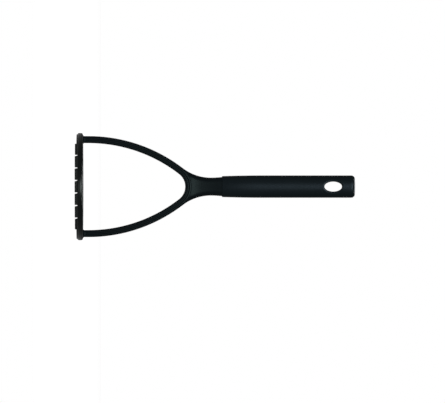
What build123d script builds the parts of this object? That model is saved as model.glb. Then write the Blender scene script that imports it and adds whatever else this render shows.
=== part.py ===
"""Potato masher in black moulded nylon: a slotted round plate, an arch that carries it,
a grip moulded over the arch's tang, and two screws that hold the plate to the arch.

The masher stands upright on its ridges. The origin is at the centre of the plate's footprint,
+Z runs up the handle, X runs across the arch and Y through the arch's opening.
"""

import os
from math import atan2, degrees, hypot

from build123d import *

# Mashing plate
plate_diameter = 102.0
plate_thickness = 5.0
plate_face_edge_radius = 1.1
plate_back_edge_radius = 1.9

# Ridges on the plate's working face, with a square and a raked flank to each groove, and each
# as long as a round zone allows
ridge_depth = 2.6
ridges_each_side = 3
ridge_zone_inset = 7.0
outer_ridge_inset = 8.3
outer_flank_set_back = 0.8
groove_root_width = 0.5
square_flank_lean = 0.2
raked_flank_lean = 0.7
ridge_edge_break = 0.35

# Lands that thicken the rim round the screws, beyond the outer ridges
land_height = 1.1
land_edge_radius = 0.5

# Slots through the ridges, in three banks parted by two cross bars
slot_side_wall = 2.3
slot_corner_share = 0.28
slot_edge_wall = 2.2
cross_bar_width = 4.0
centre_bank_inset = 32.5
shortest_slot = 8.0

# Arch, a band of constant width that bows round the opening
arm_width = 6.7
arm_depth = 12.4
arm_edge_radius = 2.0
foot_inset = 3.0
opening_height = 97.1
foot_straight = 5.2
crown_radius = 15.0

# Round-bottomed channel along the middle of the band on both faces
channel_radius = 1.3
channel_depth = 0.7
channel_start_share = 0.5

# Feet, each with a flared base and a tenon in the plate
foot_flare = 0.9
foot_flare_angle = 45.0
tenon_width = 4.6
tenon_depth = 8.4
tenon_height = 1.6
tenon_clearance = 0.05

# Neck, drawn in to a waist between the arch and the grip
waist_width = 17.0
waist_above_crown = 24.4
neck_length = 34.9
neck_end_width = 18.2
neck_web_depth = 11.4
neck_waist_depth = 9.6
neck_end_depth = 12.2
neck_fall_length = 11.4
neck_fall_turn_share = 0.3
fall_above_flank_foot = 5.8
neck_side_flat = 0.4

# Tang inside the grip, with windows that the grip's plastic fills
tang_width = 12.0
tang_depth = 7.0
tang_length = 84.0
tang_corner_radius = 1.5
tang_draft_angle = 0.6
tang_window_length = 11.0
tang_window_width = 5.0
tang_window_pitch = 24.0
tang_windows = 3
tang_first_window = 18.0

# Grip
grip_mouth_width = 19.9
grip_mouth_depth = 13.2
grip_width = 21.2
grip_depth = 16.4
grip_swell_length = 38.0
grip_length = 126.5
grip_face_crown = 2.2
grip_side_crown = 0.8
grip_corner_radius = 5.2
grip_mouth_radius = 0.6
grip_end_radius = 3.4
grip_end_crown_radius = 110.0
swell_steps = 4
width_ease = 2
depth_ease = 3

# Hanging eye
eye_length = 16.7
eye_width = 9.4
eye_from_end = 20.8
eye_edge_radius = 1.3

# Self-tapping pan-head screws
screw_head_diameter = 6.4
screw_head_height = 1.9
screw_head_dome_radius = 0.7
screw_thread_diameter = 3.5
screw_core_diameter = 2.6
screw_pitch = 1.3
screw_thread_turns = 9
screw_point_length = 2.0
recess_width = 1.0
recess_length = 3.4
recess_depth = 1.1
head_sink = 0.3
head_clearance = 0.4
shank_clearance = 0.15
thread_clearance = 0.02

cut_overrun = 2.0

# Heights and places that follow
face_height = ridge_depth
land_face_height = face_height - land_height
back_height = ridge_depth + plate_thickness
bow_start_height = back_height + foot_straight
crown_height = back_height + opening_height
opening_half = plate_diameter / 2 - foot_inset - arm_width
foot_centre = opening_half + arm_width / 2

# Bow that leaves the foot upright and runs smoothly into the crown
crown_rise = crown_height - crown_radius - bow_start_height
bow_radius = (opening_half**2 + crown_rise**2 - crown_radius**2) / (
    2 * (opening_half - crown_radius)
)
bow_centre_x = opening_half - bow_radius
bow_angle = degrees(atan2(crown_rise, -bow_centre_x))

# Heights of the neck and the grip
waist_height = crown_height + waist_above_crown
shoulder_height = crown_height + neck_length
overall_height = shoulder_height + grip_length
eye_height = overall_height - eye_from_end


def arch_line(offset, start_height):
    """Line that keeps a constant distance outside the opening, foot to foot."""
    foot_x = opening_half + offset
    bow = bow_radius + offset
    crown = crown_radius + offset
    crown_angle = 180 - 2 * bow_angle
    right_foot = Line((foot_x, start_height), (foot_x, bow_start_height))
    right_bow = JernArc(right_foot @ 1, right_foot % 1, bow, bow_angle)
    top = JernArc(right_bow @ 1, right_bow % 1, crown, crown_angle)
    left_bow = JernArc(top @ 1, top % 1, bow, bow_angle)
    Line(left_bow @ 1, (-foot_x, start_height))


# Mashing plate: a disc with ridges below, raked grooves between them, slots and screw seats
ridge_zone_radius = plate_diameter / 2 - ridge_zone_inset
ridge_pitch = (ridge_zone_radius - outer_ridge_inset) / ridges_each_side
ridge_row_places = [ridge_pitch * row for row in range(-ridges_each_side, ridges_each_side + 1)]
ridge_root_half = (ridge_pitch - groove_root_width) / 2
square_flank_tip = ridge_root_half - square_flank_lean
raked_flank_tip = ridge_root_half - raked_flank_lean
outer_ridge_edge = ridge_pitch * ridges_each_side + ridge_root_half - outer_flank_set_back
ridge_reaches = [
    (ridge_zone_radius**2 - (abs(row_place) + ridge_root_half) ** 2) ** 0.5
    for row_place in ridge_row_places
]
slot_width = 2 * (raked_flank_tip - slot_side_wall)
centre_bank_half = ridge_zone_radius - centre_bank_inset
screw_seat_height = land_face_height + head_sink + screw_head_height
screw_clearance_diameter = screw_thread_diameter + 2 * shank_clearance
socket_floor_height = back_height - tenon_height - tenon_clearance

with BuildPart() as mashing_plate:
    with BuildSketch(Plane.XY.offset(face_height)):
        Circle(plate_diameter / 2)
    extrude(amount=plate_thickness)
    back_edge = mashing_plate.edges().group_by(Axis.Z)[-1]
    fillet(back_edge, plate_back_edge_radius)
    face_edge = mashing_plate.edges().group_by(Axis.Z)[0]
    fillet(face_edge, plate_face_edge_radius)

    # Ridges with square-cut ends
    with BuildSketch(Plane.XY):
        for row_place, ridge_reach in zip(ridge_row_places, ridge_reaches):
            with Locations((row_place, 0)):
                Rectangle(2 * ridge_root_half, 2 * ridge_reach)
        Rectangle(2 * outer_ridge_edge, 2 * ridge_zone_radius, mode=Mode.INTERSECT)
    extrude(amount=ridge_depth)

    # Leaning flanks of the grooves between neighbouring ridges
    with BuildSketch(Plane.XZ):
        for row_place in ridge_row_places[:-1]:
            next_place = row_place + ridge_pitch
            with BuildLine():
                Polyline(
                    (row_place + ridge_root_half, ridge_depth),
                    (row_place + square_flank_tip, 0),
                    (next_place - raked_flank_tip, 0),
                    (next_place - ridge_root_half, ridge_depth),
                    close=True,
                )
            make_face()
    extrude(amount=ridge_zone_radius + cut_overrun, both=True, mode=Mode.SUBTRACT)

    ridge_tip_edges = mashing_plate.edges().group_by(Axis.Z)[0]
    chamfer(ridge_tip_edges, ridge_edge_break)

    # Lands
    with BuildSketch(Plane.XY.offset(land_face_height)):
        Circle(plate_diameter / 2 - plate_face_edge_radius)
        Rectangle(2 * outer_ridge_edge, plate_diameter, mode=Mode.SUBTRACT)
    extrude(amount=land_height)
    land_edges = mashing_plate.edges().filter_by_position(
        Axis.Z, land_face_height, land_face_height
    )
    fillet(land_edges.filter_by(GeomType.CIRCLE), land_edge_radius)

    # Slots: a bank across the middle, and a bank beyond each cross bar out to the ridges' ends
    bank_start = centre_bank_half + cross_bar_width
    for row_place, ridge_reach in zip(ridge_row_places, ridge_reaches):
        slot_spans = [(0, 2 * centre_bank_half)]
        outer_length = ridge_reach - slot_edge_wall - bank_start
        if outer_length >= shortest_slot:
            outer_middle = bank_start + outer_length / 2
            slot_spans.append((outer_middle, outer_length))
            slot_spans.append((-outer_middle, outer_length))
        for slot_middle, slot_length in slot_spans:
            with BuildSketch(Plane.XY):
                with Locations((row_place, slot_middle)):
                    RectangleRounded(slot_width, slot_length, slot_corner_share * slot_width)
            extrude(amount=back_height, mode=Mode.SUBTRACT)

    # Sockets in the back for the feet's tenons
    with BuildSketch(Plane.XY.offset(back_height)):
        with Locations((foot_centre, 0), (-foot_centre, 0)):
            Rectangle(tenon_width + 2 * tenon_clearance, tenon_depth + 2 * tenon_clearance)
    extrude(amount=socket_floor_height - back_height, mode=Mode.SUBTRACT)

    # Sunk seats and clearance holes for the screws, from the lands
    with BuildSketch(Plane.XY.offset(land_face_height)):
        with Locations((foot_centre, 0), (-foot_centre, 0)):
            Circle(screw_head_diameter / 2 + head_clearance)
    extrude(amount=screw_seat_height - land_face_height, mode=Mode.SUBTRACT)
    with BuildSketch(Plane.XY.offset(screw_seat_height)):
        with Locations((foot_centre, 0), (-foot_centre, 0)):
            Circle(screw_clearance_diameter / 2)
    extrude(amount=plate_thickness, mode=Mode.SUBTRACT)
mashing_plate.part.label = "mashing_plate"

# Arch band: the two arms and the crown between them, with rounded long edges
with BuildPart() as arch_band:
    with BuildSketch(Plane.XZ):
        with BuildLine():
            arch_line(arm_width, back_height)
            Line((-opening_half - arm_width, back_height), (opening_half + arm_width, back_height))
        make_face()
        with BuildLine():
            arch_line(0, back_height)
            Line((-opening_half, back_height), (opening_half, back_height))
        make_face(mode=Mode.SUBTRACT)
    extrude(amount=arm_depth / 2, both=True)
    for face_group in (0, -1):
        face_edges = arch_band.edges().group_by(Axis.Y)[face_group]
        fillet(face_edges.filter_by(Axis.X, reverse=True), arm_edge_radius)

# Neck: its flanks run out of the arms' outer curves and draw in to the waist. Its faces lie a
# little below the band's, fall to the waist and swell again to the grip. It stops at the band's
# middle line, inside the arms
bow_outer_radius = bow_radius + arm_width
waist_half = waist_width / 2
waist_rise = waist_height - bow_start_height
waist_reach = waist_half - bow_centre_x
flank_radius = (waist_reach**2 + waist_rise**2 - bow_outer_radius**2) / (
    2 * (bow_outer_radius - waist_reach)
)
flank_centre_x = waist_half + flank_radius
centres_apart = hypot(flank_centre_x - bow_centre_x, waist_rise)
tangent_cos = (flank_centre_x - bow_centre_x) / centres_apart
tangent_sin = waist_rise / centres_apart
flank_foot_x = bow_centre_x + bow_outer_radius * tangent_cos
flank_foot_height = bow_start_height + bow_outer_radius * tangent_sin
fall_start = flank_foot_height + fall_above_flank_foot
fall_turn = fall_start + neck_fall_turn_share * neck_fall_length
fall_end = fall_start + neck_fall_length
fall_turn_depth = neck_web_depth + neck_fall_turn_share * (neck_waist_depth - neck_web_depth)
neck_edge_radius = (neck_waist_depth - neck_side_flat) / 2

with BuildPart() as neck:
    with BuildSketch(Plane.XZ):
        with BuildLine():
            for side in (1, -1):
                waist = (side * waist_half, waist_height)
                flank_foot = (side * flank_foot_x, flank_foot_height)
                neck_end = (side * neck_end_width / 2, shoulder_height)
                TangentArc(waist, neck_end, tangent=(0, 1))
                TangentArc(waist, flank_foot, tangent=(0, -1))
            Line((-flank_foot_x, flank_foot_height), (flank_foot_x, flank_foot_height))
            Line((-neck_end_width / 2, shoulder_height), (neck_end_width / 2, shoulder_height))
        make_face()
    extrude(amount=neck_end_depth, both=True)
    with BuildSketch(Plane.YZ):
        with BuildLine():
            for side in (1, -1):
                web_foot = (side * neck_web_depth / 2, bow_start_height)
                fall_foot = (side * neck_web_depth / 2, fall_start)
                fall_middle = (side * fall_turn_depth / 2, fall_turn)
                fall_top = (side * neck_waist_depth / 2, fall_end)
                neck_end = (side * neck_end_depth / 2, shoulder_height)
                Line(web_foot, fall_foot)
                TangentArc(fall_foot, fall_middle, tangent=(0, 1))
                TangentArc(fall_top, fall_middle, tangent=(0, -1))
                TangentArc(fall_top, neck_end, tangent=(0, 1))
            Line((-neck_web_depth / 2, bow_start_height), (neck_web_depth / 2, bow_start_height))
            Line((-neck_end_depth / 2, shoulder_height), (neck_end_depth / 2, shoulder_height))
        make_face()
    extrude(amount=2 * opening_half, both=True, mode=Mode.INTERSECT)
    flank_edges = neck.edges().filter_by(GeomType.LINE, reverse=True)
    fillet(flank_edges, neck_edge_radius)
    with BuildSketch(Plane.XZ):
        with BuildLine():
            arch_line(arm_width / 2, back_height)
            Line((-foot_centre, back_height), (foot_centre, back_height))
        make_face()
    extrude(amount=neck_end_depth, both=True, mode=Mode.SUBTRACT)

# Arch frame: band, neck, feet and tang in one moulding
screw_length = screw_thread_turns * screw_pitch + screw_point_length
pilot_top_height = screw_seat_height + screw_length + screw_pitch
channel_start = back_height + channel_start_share * foot_straight
channel_axis_depth = arm_depth / 2 + channel_radius - channel_depth
tang_window_places = [
    shoulder_height + tang_first_window + tang_window_pitch * window
    for window in range(tang_windows)
]

with BuildLine() as channel_line:
    arch_line(arm_width / 2, channel_start)

with BuildPart() as arch_frame:
    add(arch_band.part)
    add(neck.part)

    # Channel on both faces of the band
    for side in (1, -1):
        channel_plane = Plane.XZ.offset(side * channel_axis_depth)
        channel_path = channel_plane.from_local_coords(channel_line.line)
        with BuildSketch(Plane(origin=channel_path @ 0, z_dir=channel_path % 0)):
            Circle(channel_radius)
        sweep(path=channel_path, mode=Mode.SUBTRACT)

    # Feet: a flare on the plate's back and a tenon in its socket
    foot_places = ((foot_centre, 0), (-foot_centre, 0))
    with BuildSketch(Plane.XY.offset(back_height)):
        with Locations(*foot_places):
            RectangleRounded(
                arm_width + 2 * foot_flare,
                arm_depth + 2 * foot_flare,
                arm_edge_radius + foot_flare,
            )
    extrude(amount=foot_flare, taper=foot_flare_angle)
    with BuildSketch(Plane.XY.offset(back_height)):
        with Locations(*foot_places):
            Rectangle(tenon_width, tenon_depth)
    extrude(amount=-tenon_height)
    with BuildSketch(Plane.XY.offset(back_height - tenon_height)):
        with Locations(*foot_places):
            Circle(screw_thread_diameter / 2 + thread_clearance)
    extrude(amount=pilot_top_height - back_height + tenon_height, mode=Mode.SUBTRACT)

    # Tang with its windows
    with BuildSketch(Plane.XY.offset(shoulder_height)):
        RectangleRounded(tang_width, tang_depth, tang_corner_radius)
    extrude(amount=tang_length, taper=tang_draft_angle)
    with BuildSketch(Plane.XZ):
        for window_place in tang_window_places:
            with Locations((0, window_place)):
                SlotOverall(tang_window_length, tang_window_width, rotation=90)
    extrude(amount=tang_depth, both=True, mode=Mode.SUBTRACT)
arch_frame.part.label = "arch_frame"


def grip_outline(width, depth):
    """Outline of the grip with crowned faces and sides, before its corners are rounded."""
    corner_x = width / 2 - grip_side_crown
    corner_y = depth / 2 - grip_face_crown
    ThreePointArc((-corner_x, -corner_y), (0, -depth / 2), (corner_x, -corner_y))
    ThreePointArc((corner_x, -corner_y), (width / 2, 0), (corner_x, corner_y))
    ThreePointArc((corner_x, corner_y), (0, depth / 2), (-corner_x, corner_y))
    ThreePointArc((-corner_x, corner_y), (-width / 2, 0), (-corner_x, -corner_y))


# Grip, moulded round the tang: it swells from the mouth and ends in a crowned, rounded end
with BuildPart() as grip:
    for step in range(swell_steps + 1):
        rise_share = step / swell_steps
        width_shortfall = (grip_width - grip_mouth_width) * (1 - rise_share) ** width_ease
        depth_shortfall = (grip_depth - grip_mouth_depth) * (1 - rise_share) ** depth_ease
        section_height = shoulder_height + rise_share * grip_swell_length
        with BuildSketch(Plane.XY.offset(section_height)) as section:
            with BuildLine():
                grip_outline(grip_width - width_shortfall, grip_depth - depth_shortfall)
            make_face()
            fillet(section.vertices(), grip_corner_radius)
    loft()
    with BuildSketch(Plane.XY.offset(shoulder_height + grip_swell_length)) as full_section:
        with BuildLine():
            grip_outline(grip_width, grip_depth)
        make_face()
        fillet(full_section.vertices(), grip_corner_radius)
    extrude(amount=grip_length - grip_swell_length)
    fillet(grip.edges().group_by(Axis.Z)[0], grip_mouth_radius)
    with Locations((0, 0, overall_height - grip_end_crown_radius)):
        Sphere(grip_end_crown_radius, mode=Mode.INTERSECT)
    end_face = grip.faces().sort_by(Axis.Z)[-1]
    fillet(end_face.edges(), grip_end_radius)

    # Hanging eye
    with BuildSketch(Plane.XZ.offset(grip_depth)):
        with Locations((0, eye_height)):
            Ellipse(eye_width / 2, eye_length / 2)
    extrude(amount=-2 * grip_depth, mode=Mode.SUBTRACT)
    eye_walls = grip.faces().filter_by_position(
        Axis.Z, eye_height - eye_length / 2, eye_height + eye_length / 2
    )
    eye_rims = eye_walls.edges().filter_by(GeomType.LINE, reverse=True)
    fillet(eye_rims, eye_edge_radius)

    add(arch_frame.part, mode=Mode.SUBTRACT)
grip.part.label = "grip"

# Plate screws: pan heads in the plate's sunk seats, threads up in the feet
head_face_height = screw_seat_height - screw_head_height
thread_start_height = screw_seat_height + screw_pitch
with BuildPart() as one_screw:
    with BuildSketch(Plane.XZ):
        with BuildLine():
            outline = [
                (0, head_face_height),
                (screw_head_diameter / 2, head_face_height),
                (screw_head_diameter / 2, screw_seat_height),
                (screw_core_diameter / 2, screw_seat_height),
                (screw_core_diameter / 2, thread_start_height),
            ]
            for turn in range(screw_thread_turns - 1):
                turn_height = thread_start_height + turn * screw_pitch
                outline.append((screw_thread_diameter / 2, turn_height + screw_pitch / 2))
                outline.append((screw_core_diameter / 2, turn_height + screw_pitch))
            outline.append((0, screw_seat_height + screw_length))
            Polyline(*outline, close=True)
        make_face()
    revolve(axis=Axis.Z)
    head_edge = one_screw.edges().group_by(Axis.Z)[0]
    fillet(head_edge, screw_head_dome_radius)
    with BuildSketch(Plane.XY.offset(head_face_height)):
        Rectangle(recess_width, recess_length)
        Rectangle(recess_length, recess_width)
    extrude(amount=recess_depth, mode=Mode.SUBTRACT)

with BuildPart() as plate_screws:
    with Locations((foot_centre, 0, 0), (-foot_centre, 0, 0)):
        add(one_screw.part)
plate_screws.part.label = "plate_screws"

os.makedirs("parts", exist_ok=True)
for sub_part in (mashing_plate, arch_frame, grip, plate_screws):
    export_step(sub_part.part, f"parts/{sub_part.part.label}.step")
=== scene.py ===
from math import radians

import bpy
from mathutils import Matrix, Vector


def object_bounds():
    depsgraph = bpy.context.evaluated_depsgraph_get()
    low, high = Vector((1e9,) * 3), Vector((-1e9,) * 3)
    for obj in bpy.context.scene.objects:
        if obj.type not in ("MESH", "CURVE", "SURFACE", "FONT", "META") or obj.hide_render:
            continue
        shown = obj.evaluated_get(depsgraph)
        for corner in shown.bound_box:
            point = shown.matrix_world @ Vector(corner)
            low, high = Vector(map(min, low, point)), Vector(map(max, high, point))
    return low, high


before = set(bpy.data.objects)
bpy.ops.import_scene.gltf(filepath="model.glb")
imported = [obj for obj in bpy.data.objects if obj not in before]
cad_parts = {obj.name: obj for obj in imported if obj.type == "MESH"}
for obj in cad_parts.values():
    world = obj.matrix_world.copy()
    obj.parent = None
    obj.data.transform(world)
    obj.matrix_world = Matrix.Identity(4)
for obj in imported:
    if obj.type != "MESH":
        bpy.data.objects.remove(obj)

cad_low, cad_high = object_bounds()

# Mashing plate: one moulding in black glass-filled nylon. It is pressed, scraped and washed
# face down, so it is the smoothest piece, and its rim draws the light into a narrow patch.
# It takes no glue: its sockets sit on the arch's tenons and two screws pull it up to the feet.
MM = 0.001
NOISE_DETAIL = 2.0
GLOSS_DRIFT = 0.04


def linear(hex_colour):
    """The linear colour of an sRGB hex value."""
    channels = [int(hex_colour[i : i + 2], 16) / 255 for i in (1, 3, 5)]
    return [c / 12.92 if c <= 0.04045 else ((c + 0.055) / 1.055) ** 2.4 for c in channels] + [1.0]


def add_node(tree, kind, values=None, links=None, **settings):
    """Adds a node, sets its properties and socket values, and links sources into its sockets."""
    node = tree.nodes.new(kind)
    for name, value in settings.items():
        setattr(node, name, value)
    for socket, value in (values or {}).items():
        node.inputs[socket].default_value = value
    for socket, source in (links or {}).items():
        tree.links.new(source, node.inputs[socket])
    return node


def new_material(name):
    """An empty node material and its tree."""
    material = bpy.data.materials.new(name)
    material.use_nodes = True
    material.node_tree.nodes.clear()
    return material, material.node_tree


def noise(tree, size_mm):
    """Noise whose patches have a real size on the piece."""
    place = add_node(tree, "ShaderNodeTexCoord").outputs["Object"]
    values = {"Scale": 1 / (size_mm * MM), "Detail": NOISE_DETAIL}
    return add_node(tree, "ShaderNodeTexNoise", values, {"Vector": place}).outputs["Fac"]


def moulded_plastic(name, colour, flow, sheen, roughness, specular, grain_mm, depth_mm, flow_mm):
    """A black moulding: the eroded mould's grain breaks its sheen up evenly, and colour and
    gloss drift a little along the melt's flow, so that long faces don't look like flat paint."""
    material, tree = new_material(name)
    drift = noise(tree, flow_mm)
    shade = add_node(
        tree,
        "ShaderNodeMix",
        {"A": linear(colour), "B": linear(flow)},
        {"Factor": drift},
        data_type="RGBA",
    )
    gloss = add_node(
        tree,
        "ShaderNodeMapRange",
        {"To Min": roughness - GLOSS_DRIFT, "To Max": roughness + GLOSS_DRIFT},
        {"Value": drift},
    )
    grain = add_node(
        tree,
        "ShaderNodeBump",
        {"Distance": depth_mm * MM},
        {"Height": noise(tree, grain_mm)},
    )
    shader = add_node(
        tree,
        "ShaderNodeBsdfPrincipled",
        {"Specular IOR Level": specular, "Specular Tint": linear(sheen)},
        {
            "Base Color": shade.outputs["Result"],
            "Roughness": gloss.outputs["Result"],
            "Normal": grain.outputs["Normal"],
        },
    )
    add_node(tree, "ShaderNodeOutputMaterial", links={"Surface": shader.outputs["BSDF"]})
    return material


def dress(node, material):
    """Gives a CAD node its material."""
    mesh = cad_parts[node].data
    mesh.materials.clear()
    mesh.materials.append(material)


plate_nylon = moulded_plastic(
    name="moulded_glass_filled_nylon",
    colour="#030404",
    flow="#050606",
    sheen="#f2fffb",
    roughness=0.22,
    specular=0.30,
    grain_mm=0.45,
    depth_mm=0.006,
    flow_mm=30,
)
dress("mashing_plate", plate_nylon)

# Arch frame: bow, neck and tang in one black nylon moulding, from a mould that was blasted
# satin. Its sheen is duller than the plate's, so the light shows mostly in soft shading: round
# the crown, down the channel and where the neck falls away.
arch_nylon = moulded_plastic(
    name="moulded_satin_nylon",
    colour="#0b0f12",
    flow="#0e1316",
    sheen="#dafffc",
    roughness=0.35,
    specular=0.075,
    grain_mm=0.4,
    depth_mm=0.008,
    flow_mm=40,
)
dress("arch_frame", arch_nylon)

# Grip: polypropylene moulded over the tang, with a spark-eroded grain for hold. Carbon black
# has a blue undertone, which gives the soft band down its face a cool cast.
grip_polypropylene = moulded_plastic(
    name="spark_eroded_polypropylene",
    colour="#0c1214",
    flow="#0f1517",
    sheen="#cee9ff",
    roughness=0.3,
    specular=0.13,
    grain_mm=0.5,
    depth_mm=0.01,
    flow_mm=35,
)
dress("grip", grip_polypropylene)

# Plate screws: two pan heads, cold-headed from stainless wire and tumbled bright. They go up
# through the plate's sunk seats into the feet, and the die leaves them slightly uneven.
SMOOTHEST_STEEL = 0.24
ROUGHEST_STEEL = 0.36
TUMBLING_MARK_MM = 1.2
STEEL_COLOUR = "#b9b8b4"

screw_steel, tree = new_material("cold_headed_stainless_steel")
tumbling = add_node(
    tree,
    "ShaderNodeMapRange",
    {"To Min": SMOOTHEST_STEEL, "To Max": ROUGHEST_STEEL},
    {"Value": noise(tree, TUMBLING_MARK_MM)},
)
steel = add_node(
    tree,
    "ShaderNodeBsdfPrincipled",
    {"Base Color": linear(STEEL_COLOUR), "Metallic": 1.0},
    {"Roughness": tumbling.outputs["Result"]},
)
add_node(tree, "ShaderNodeOutputMaterial", links={"Surface": steel.outputs["BSDF"]})
dress("plate_screws", screw_steel)

# Camera: square on to the arch from the front, with the masher lying across the picture. The
# ridge tips are at the left and the grip's end is at the right, as the picture is 445 by 403.
PICTURE_WIDTH = 445
MM_PER_PIXEL = 0.95
RIDGE_TIP_COLUMN = 75.0
AXIS_ROW = 186.6
MIDDLE_COLUMN = 222.5
MIDDLE_ROW = 201.5
LENS_MM = 1200
SENSOR_MM = 36

across = (MIDDLE_ROW - AXIS_ROW) * MM_PER_PIXEL * MM
along = (MIDDLE_COLUMN - RIDGE_TIP_COLUMN) * MM_PER_PIXEL * MM
away = PICTURE_WIDTH * MM_PER_PIXEL * MM * LENS_MM / SENSOR_MM
camera_data = bpy.data.cameras.new("camera")
camera_data.lens = LENS_MM
camera_data.sensor_width = SENSOR_MM
camera = bpy.data.objects.new("camera", camera_data)
bpy.context.scene.collection.objects.link(camera)
camera.matrix_world = Matrix(
    ((0, -1, 0, across), (0, 0, -1, -away), (1, 0, 0, along), (0, 0, 0, 1))
)
bpy.context.scene.camera = camera

# Lights: soft boxes on an arc over the masher, from low in front to high behind. The key stands
# 30 degrees above the camera, so what faces up the handle is bright and what faces down is dark.
BOX_SIDE = 1.2
BOX_DISTANCE = 3.0
middle = (cad_low + cad_high) / 2


def softbox(name, degrees_up, power):
    """A square soft light on the arc, which faces the masher and stays out of the picture."""
    lamp = bpy.data.lights.new(name, "AREA")
    lamp.size = BOX_SIDE
    lamp.energy = power
    light = bpy.data.objects.new(name, lamp)
    bpy.context.scene.collection.objects.link(light)
    tilt = Matrix.Rotation(radians(90 - degrees_up), 4, "X")
    reach = Matrix.Translation((0, 0, BOX_DISTANCE))
    light.matrix_world = Matrix.Translation(middle) @ tilt @ reach
    light.visible_camera = False


softbox("low_front_softbox", -2, 6)
softbox("front_softbox", 15, 15)
softbox("key_softbox", 30, 52)
softbox("back_softbox", 120, 50)

# Surroundings: a white backdrop for the camera and through anything clear. The masher is dark
# right up to its edges, so it sees the backdrop dimmed, both in its sheen and as fill light.
BACKDROP_SEEN_BY_MASHER = 0.15
BACKDROP_SEEN_BY_CAMERA = 1.0
WHITE = (1.0, 1.0, 1.0, 1.0)

world = bpy.data.worlds.new("white_cove")
bpy.context.scene.world = world
world.use_nodes = True
tree = world.node_tree
tree.nodes.clear()
rays = add_node(tree, "ShaderNodeLightPath")
direct = add_node(
    tree,
    "ShaderNodeMath",
    links={0: rays.outputs["Is Camera Ray"], 1: rays.outputs["Is Transmission Ray"]},
    operation="MAXIMUM",
)
strength = add_node(
    tree,
    "ShaderNodeMapRange",
    {"To Min": BACKDROP_SEEN_BY_MASHER, "To Max": BACKDROP_SEEN_BY_CAMERA},
    {"Value": direct.outputs[0]},
)
backdrop = add_node(
    tree,
    "ShaderNodeBackground",
    {"Color": WHITE},
    {"Strength": strength.outputs["Result"]},
)
add_node(tree, "ShaderNodeOutputWorld", links={"Surface": backdrop.outputs["Background"]})
bpy.context.scene.view_settings.view_transform = "Standard"

# Floor: a plain matt board under the ridges. It is white to the camera apart from the masher's
# shadow, as dim to the masher as the backdrop is, and clear from below, so that the working
# face shows.
FLOOR_RADIUS = 3.0
FLOOR_CORNERS = 96
FLOOR_GREY = 0.2
FLOOR_ROUGHNESS = 0.9
FLOOR_GLOW = 0.87

bpy.ops.mesh.primitive_circle_add(
    vertices=FLOOR_CORNERS, radius=FLOOR_RADIUS, fill_type="NGON"
)
floor = bpy.context.object
floor.name = "floor"
floor_board, tree = new_material("matt_board")
rays = add_node(tree, "ShaderNodeLightPath")
glow = add_node(
    tree,
    "ShaderNodeMapRange",
    {"To Min": BACKDROP_SEEN_BY_MASHER, "To Max": FLOOR_GLOW},
    {"Value": rays.outputs["Is Camera Ray"]},
)
board = add_node(
    tree,
    "ShaderNodeBsdfPrincipled",
    {
        "Base Color": (FLOOR_GREY, FLOOR_GREY, FLOOR_GREY, 1.0),
        "Roughness": FLOOR_ROUGHNESS,
        "Emission Color": WHITE,
    },
    {"Emission Strength": glow.outputs["Result"]},
)
side = add_node(tree, "ShaderNodeNewGeometry").outputs["Backfacing"]
clear = add_node(tree, "ShaderNodeBsdfTransparent")
facing = add_node(
    tree,
    "ShaderNodeMixShader",
    links={0: side, 1: board.outputs["BSDF"], 2: clear.outputs["BSDF"]},
)
add_node(tree, "ShaderNodeOutputMaterial", links={"Surface": facing.outputs["Shader"]})
floor.data.materials.append(floor_board)
